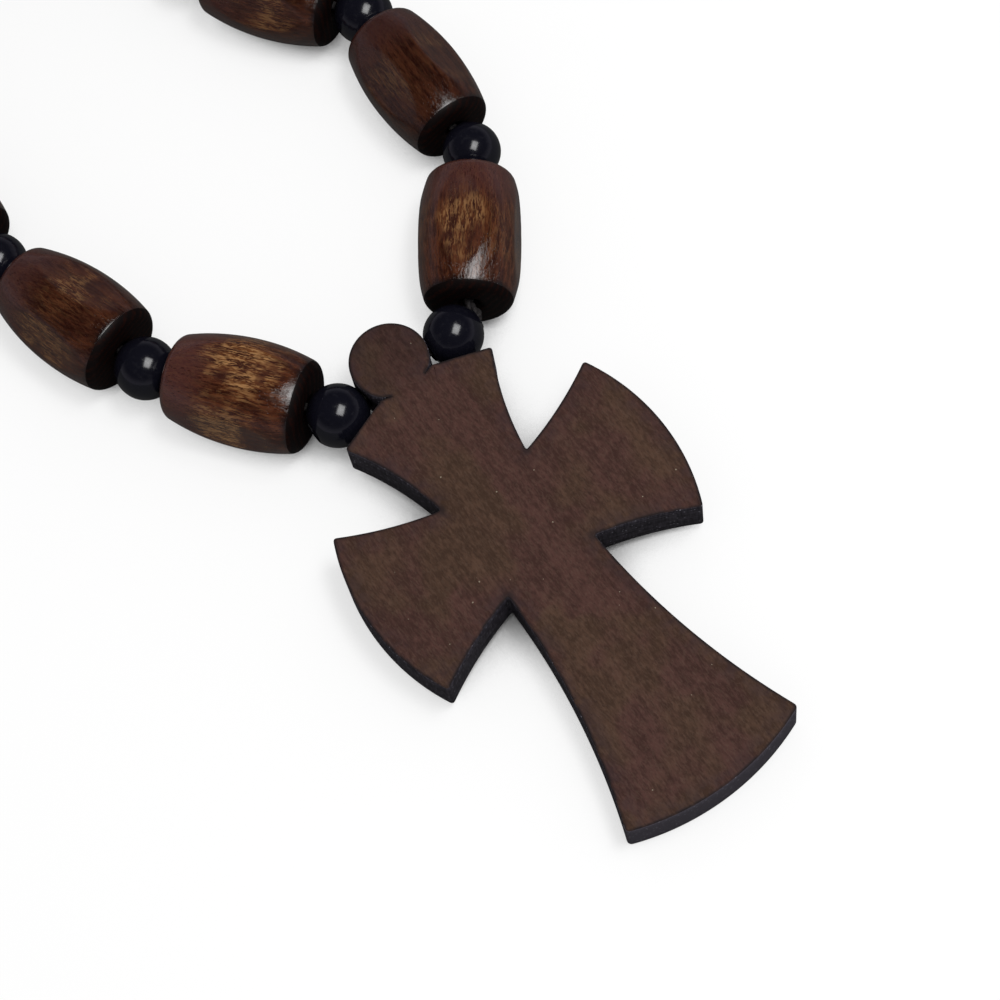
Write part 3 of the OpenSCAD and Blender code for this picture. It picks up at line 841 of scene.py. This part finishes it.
for side, bends in both_sides:
    for n in range(1, 6):
        node = f"barrel_{side}_{n}"
        turn, size, taper, thin_dye, light = BARRELS[node]
        bead = shape_barrel(f"lacquered_{node}", n * 2 + (side == "left"), size, taper, thin_dye, light)
        middle = middle_of(node)
        turned = Matrix.Rotation(math.radians(turn), 4, "Z")
        bead.data.transform(lying_along(bends[n] - middle) @ turned)
        bead.matrix_world = Matrix.Translation(middle)
        bead.data.materials.append(lacquered)
        bead.data.materials.append(end_grain)
        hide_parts(node)
        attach(bead, node)

# ---------------------------------------------------------------------------
# Spacer beads. Small round beads in glossy black, one between each two barrels
# and one on each side of the knob. They differ a little in size.
# ---------------------------------------------------------------------------
SPACER_RADIUS = 3.0
SPACER_SCALES = {
    "spacer_right_0": 0.98, "spacer_right_1": 0.96, "spacer_left_0": 1.03, "spacer_left_1": 1.03,
}
SPACER_SIDES = 72
SPACER_COLOUR = (0.0045, 0.0045, 0.0085, 1)
SPACER_SCUFF_COLOUR = (0.0110, 0.0110, 0.0160, 1)
SPACER_DUST_COLOUR = (0.1200, 0.1200, 0.1400, 1)


def spacer_profile():
    """(z, radius) round half a section of the bead, over the outside and back through the bore."""
    mouth = math.asin((BEAD_HOLE + 0.14) / SPACER_RADIUS)
    outside = [(-SPACER_RADIUS * math.cos(t), SPACER_RADIUS * math.sin(t))
        for t in np.linspace(mouth, math.pi - mouth, 41)]
    end = SPACER_RADIUS * math.cos(mouth)
    lip = [(end + 0.010, BEAD_HOLE + 0.08), (end - 0.05, BEAD_HOLE + 0.02), (end - 0.16, BEAD_HOLE)]
    return outside + lip + [(0.0, BEAD_HOLE)] + [(-z, r) for z, r in reversed(lip)]


def shape_spacer(name, seed, scale):
    points = []
    profile = spacer_profile()
    for z, r in profile:
        for k in range(SPACER_SIDES):
            angle = 2 * math.pi * k / SPACER_SIDES
            spot = Vector((r * math.cos(angle), r * math.sin(angle), z))
            if r > BEAD_HOLE + 0.1:
                spot *= scale * (1 - 0.004 * (1 + noise.noise(spot * 0.45 + Vector((seed * 5.7, 0, 0)))))
            points.append(spot)
    points = np.array([tuple(p) for p in points])
    piece = make_piece(name, points * MM, ring_faces(len(profile), SPACER_SIDES))
    note(piece.data, "skin_mm", points + np.array((seed * 11.0, 0, 0)))
    return piece


black_gloss, tree, shader = finish_of("black_gloss_bead")
place = noted(tree, "skin_mm", "Vector")
skin = use_group(tree, skin_group, {"Place": place, "Wave Size": 1.4})
dust = use_group(tree, grain_group, {"Place": place, "Spacing": 0.5, "Share": 0.04, "Radius": 0.08})
scuffs = sums(tree, "MULTIPLY", skin["Touch"], 0.6)
colour = between(tree, scuffs, SPACER_COLOUR, SPACER_SCUFF_COLOUR)
colour = between(tree, sums(tree, "MULTIPLY", dust["Grain"], 0.25), colour, SPACER_DUST_COLOUR)
tree.links.new(colour, shader.inputs["Base Color"])
tree.links.new(ramp(tree, skin["Touch"], 0, 1, 0.14, 0.26), shader.inputs["Roughness"])
roughen(tree, shader, skin["Wave"], 0.35, 0.05)
shader.inputs["IOR"].default_value = 1.62

for side, bends in both_sides:
    # The far spacer closes the loop, and counts as the right side's last.
    for n in range(5 if side == "left" else 6):
        node = f"spacer_{side}_{n}" if n < 5 else "spacer_far"
        scale = SPACER_SCALES.get(node, 1.0)
        bead = shape_spacer(f"glossy_{node}", n * 2 + (side == "left"), scale)
        if n == 0:
            along = right_bends[0] - left_bends[0]
        elif n == 5:
            along = left_bends[4] - right_bends[4]
        else:
            barrel = middle_of(f"barrel_{side}_{n}")
            along = (bends[n] - barrel).normalized() + (bends[n + 1] - bends[n]).normalized()
        bead.data.transform(lying_along(along))
        bead.matrix_world = Matrix.Translation(bends[n])
        bead.data.materials.append(black_gloss)
        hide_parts(node)
        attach(bead, node)

# ---------------------------------------------------------------------------
# Table and light. A plain white table under one soft lamp overhead with a
# brighter middle, in a pale room whose ceiling is dim.
# ---------------------------------------------------------------------------
LAMP_TOWARDS = Vector((0.21, -0.25, 0.95)).normalized()
LAMP_DISTANCE = 0.5
# The size of each lamp, and its share of the light on a level surface. With shares of 1 in all,
# a surface shows its colour as it is written.
LAMPS = {"soft_lamp": ((0.32, 0.20), 0.33), "bright_middle": ((0.14, 0.10), 0.28)}
ROOM_LIGHT = 0.46
WALL_IN_GLOSS = 0.22, 0.02  # how bright the walls show in reflections, low down and high up
WALL_TINT = (0.90, 0.86, 1.00, 1)
TABLE_WHITE = (0.93, 0.93, 0.93, 1)  # as the camera sees it
TABLE_GREY = (0.17, 0.17, 0.17, 1)  # as it throws light back up at the beads
TABLE_DIM = (0.05, 0.05, 0.05, 1)  # as it shows in reflections
TABLE_OWN_WHITE = 0.62
TABLE_IN_GLOSS = 0.03  # the share of its white that shows in reflections
TABLE_HALF = 1.5

corners = [(x * TABLE_HALF, y * TABLE_HALF, 0) for x, y in ((-1, -1), (1, -1), (1, 1), (-1, 1))]
floor = make_piece("table", corners, [(0, 1, 2, 3)], smooth=False)
table_top = bpy.data.materials.new("white_table")
table_top.use_nodes = True
tree = table_top.node_tree
tree.nodes.clear()
path = put(tree, "ShaderNodeLightPath").outputs
seen = sums(tree, "MAXIMUM", path["Is Camera Ray"], path["Is Transmission Ray"])
seen = sums(tree, "MAXIMUM", seen, sums(tree, "MULTIPLY", path["Is Glossy Ray"], TABLE_IN_GLOSS))
unseen = between(tree, path["Is Glossy Ray"], TABLE_GREY, TABLE_DIM)
lit_table = put(tree, "ShaderNodeBsdfDiffuse", {"Color": between(tree, seen, unseen, TABLE_WHITE)})
# Deep narrow gaps stay dark.
open_sky = put(tree, "ShaderNodeAmbientOcclusion", {"Distance": 0.03}, samples=12).outputs["AO"]
glow = ramp(tree, open_sky, 0.18, 0.44, 0.0, 1.05)
own_white = put(tree, "ShaderNodeEmission", {"Color": (1, 1, 1, 1), "Strength": glow})
share = sums(tree, "MULTIPLY", seen, TABLE_OWN_WHITE)
top = put(tree, "ShaderNodeMixShader", {0: share, 1: lit_table.outputs[0], 2: own_white.outputs[0]})
put(tree, "ShaderNodeOutputMaterial", {"Surface": top.outputs[0]})
floor.data.materials.append(table_top)

world = bpy.data.worlds.new("room")
world.use_nodes = True
bpy.context.scene.world = world
tree = world.node_tree
tree.nodes.clear()
path = put(tree, "ShaderNodeLightPath").outputs
height = parts_of(tree, put(tree, "ShaderNodeTexCoord").outputs["Generated"])["Z"]
wall = ramp(tree, height, 0.03, 0.50, *WALL_IN_GLOSS)
seen = sums(tree, "MAXIMUM", path["Is Camera Ray"], path["Is Transmission Ray"])
strength = between_numbers(tree, seen, ROOM_LIGHT, 1.0)
strength = between_numbers(tree, path["Is Glossy Ray"], strength, wall)
tint = between(tree, path["Is Glossy Ray"], (1, 1, 1, 1), WALL_TINT)
background = put(tree, "ShaderNodeBackground", {"Color": tint, "Strength": strength})
put(tree, "ShaderNodeOutputWorld", {"Surface": background.outputs[0]})

for name, (lamp_size, share) in LAMPS.items():
    lamp_data = bpy.data.lights.new(name, "AREA")
    lamp_data.shape = "RECTANGLE" if name == "soft_lamp" else "ELLIPSE"
    lamp_data.size, lamp_data.size_y = lamp_size
    lamp_data.energy = share * math.pi ** 2 * LAMP_DISTANCE ** 2
    lamp = bpy.data.objects.new(name, lamp_data)
    lamp.location = Vector((0, -0.015, 0)) + LAMP_DISTANCE * LAMP_TOWARDS
    lamp.rotation_euler = LAMP_TOWARDS.to_track_quat("Z", "Y").to_euler()
    bpy.context.scene.collection.objects.link(lamp)

bpy.context.scene.view_settings.view_transform = "Standard"
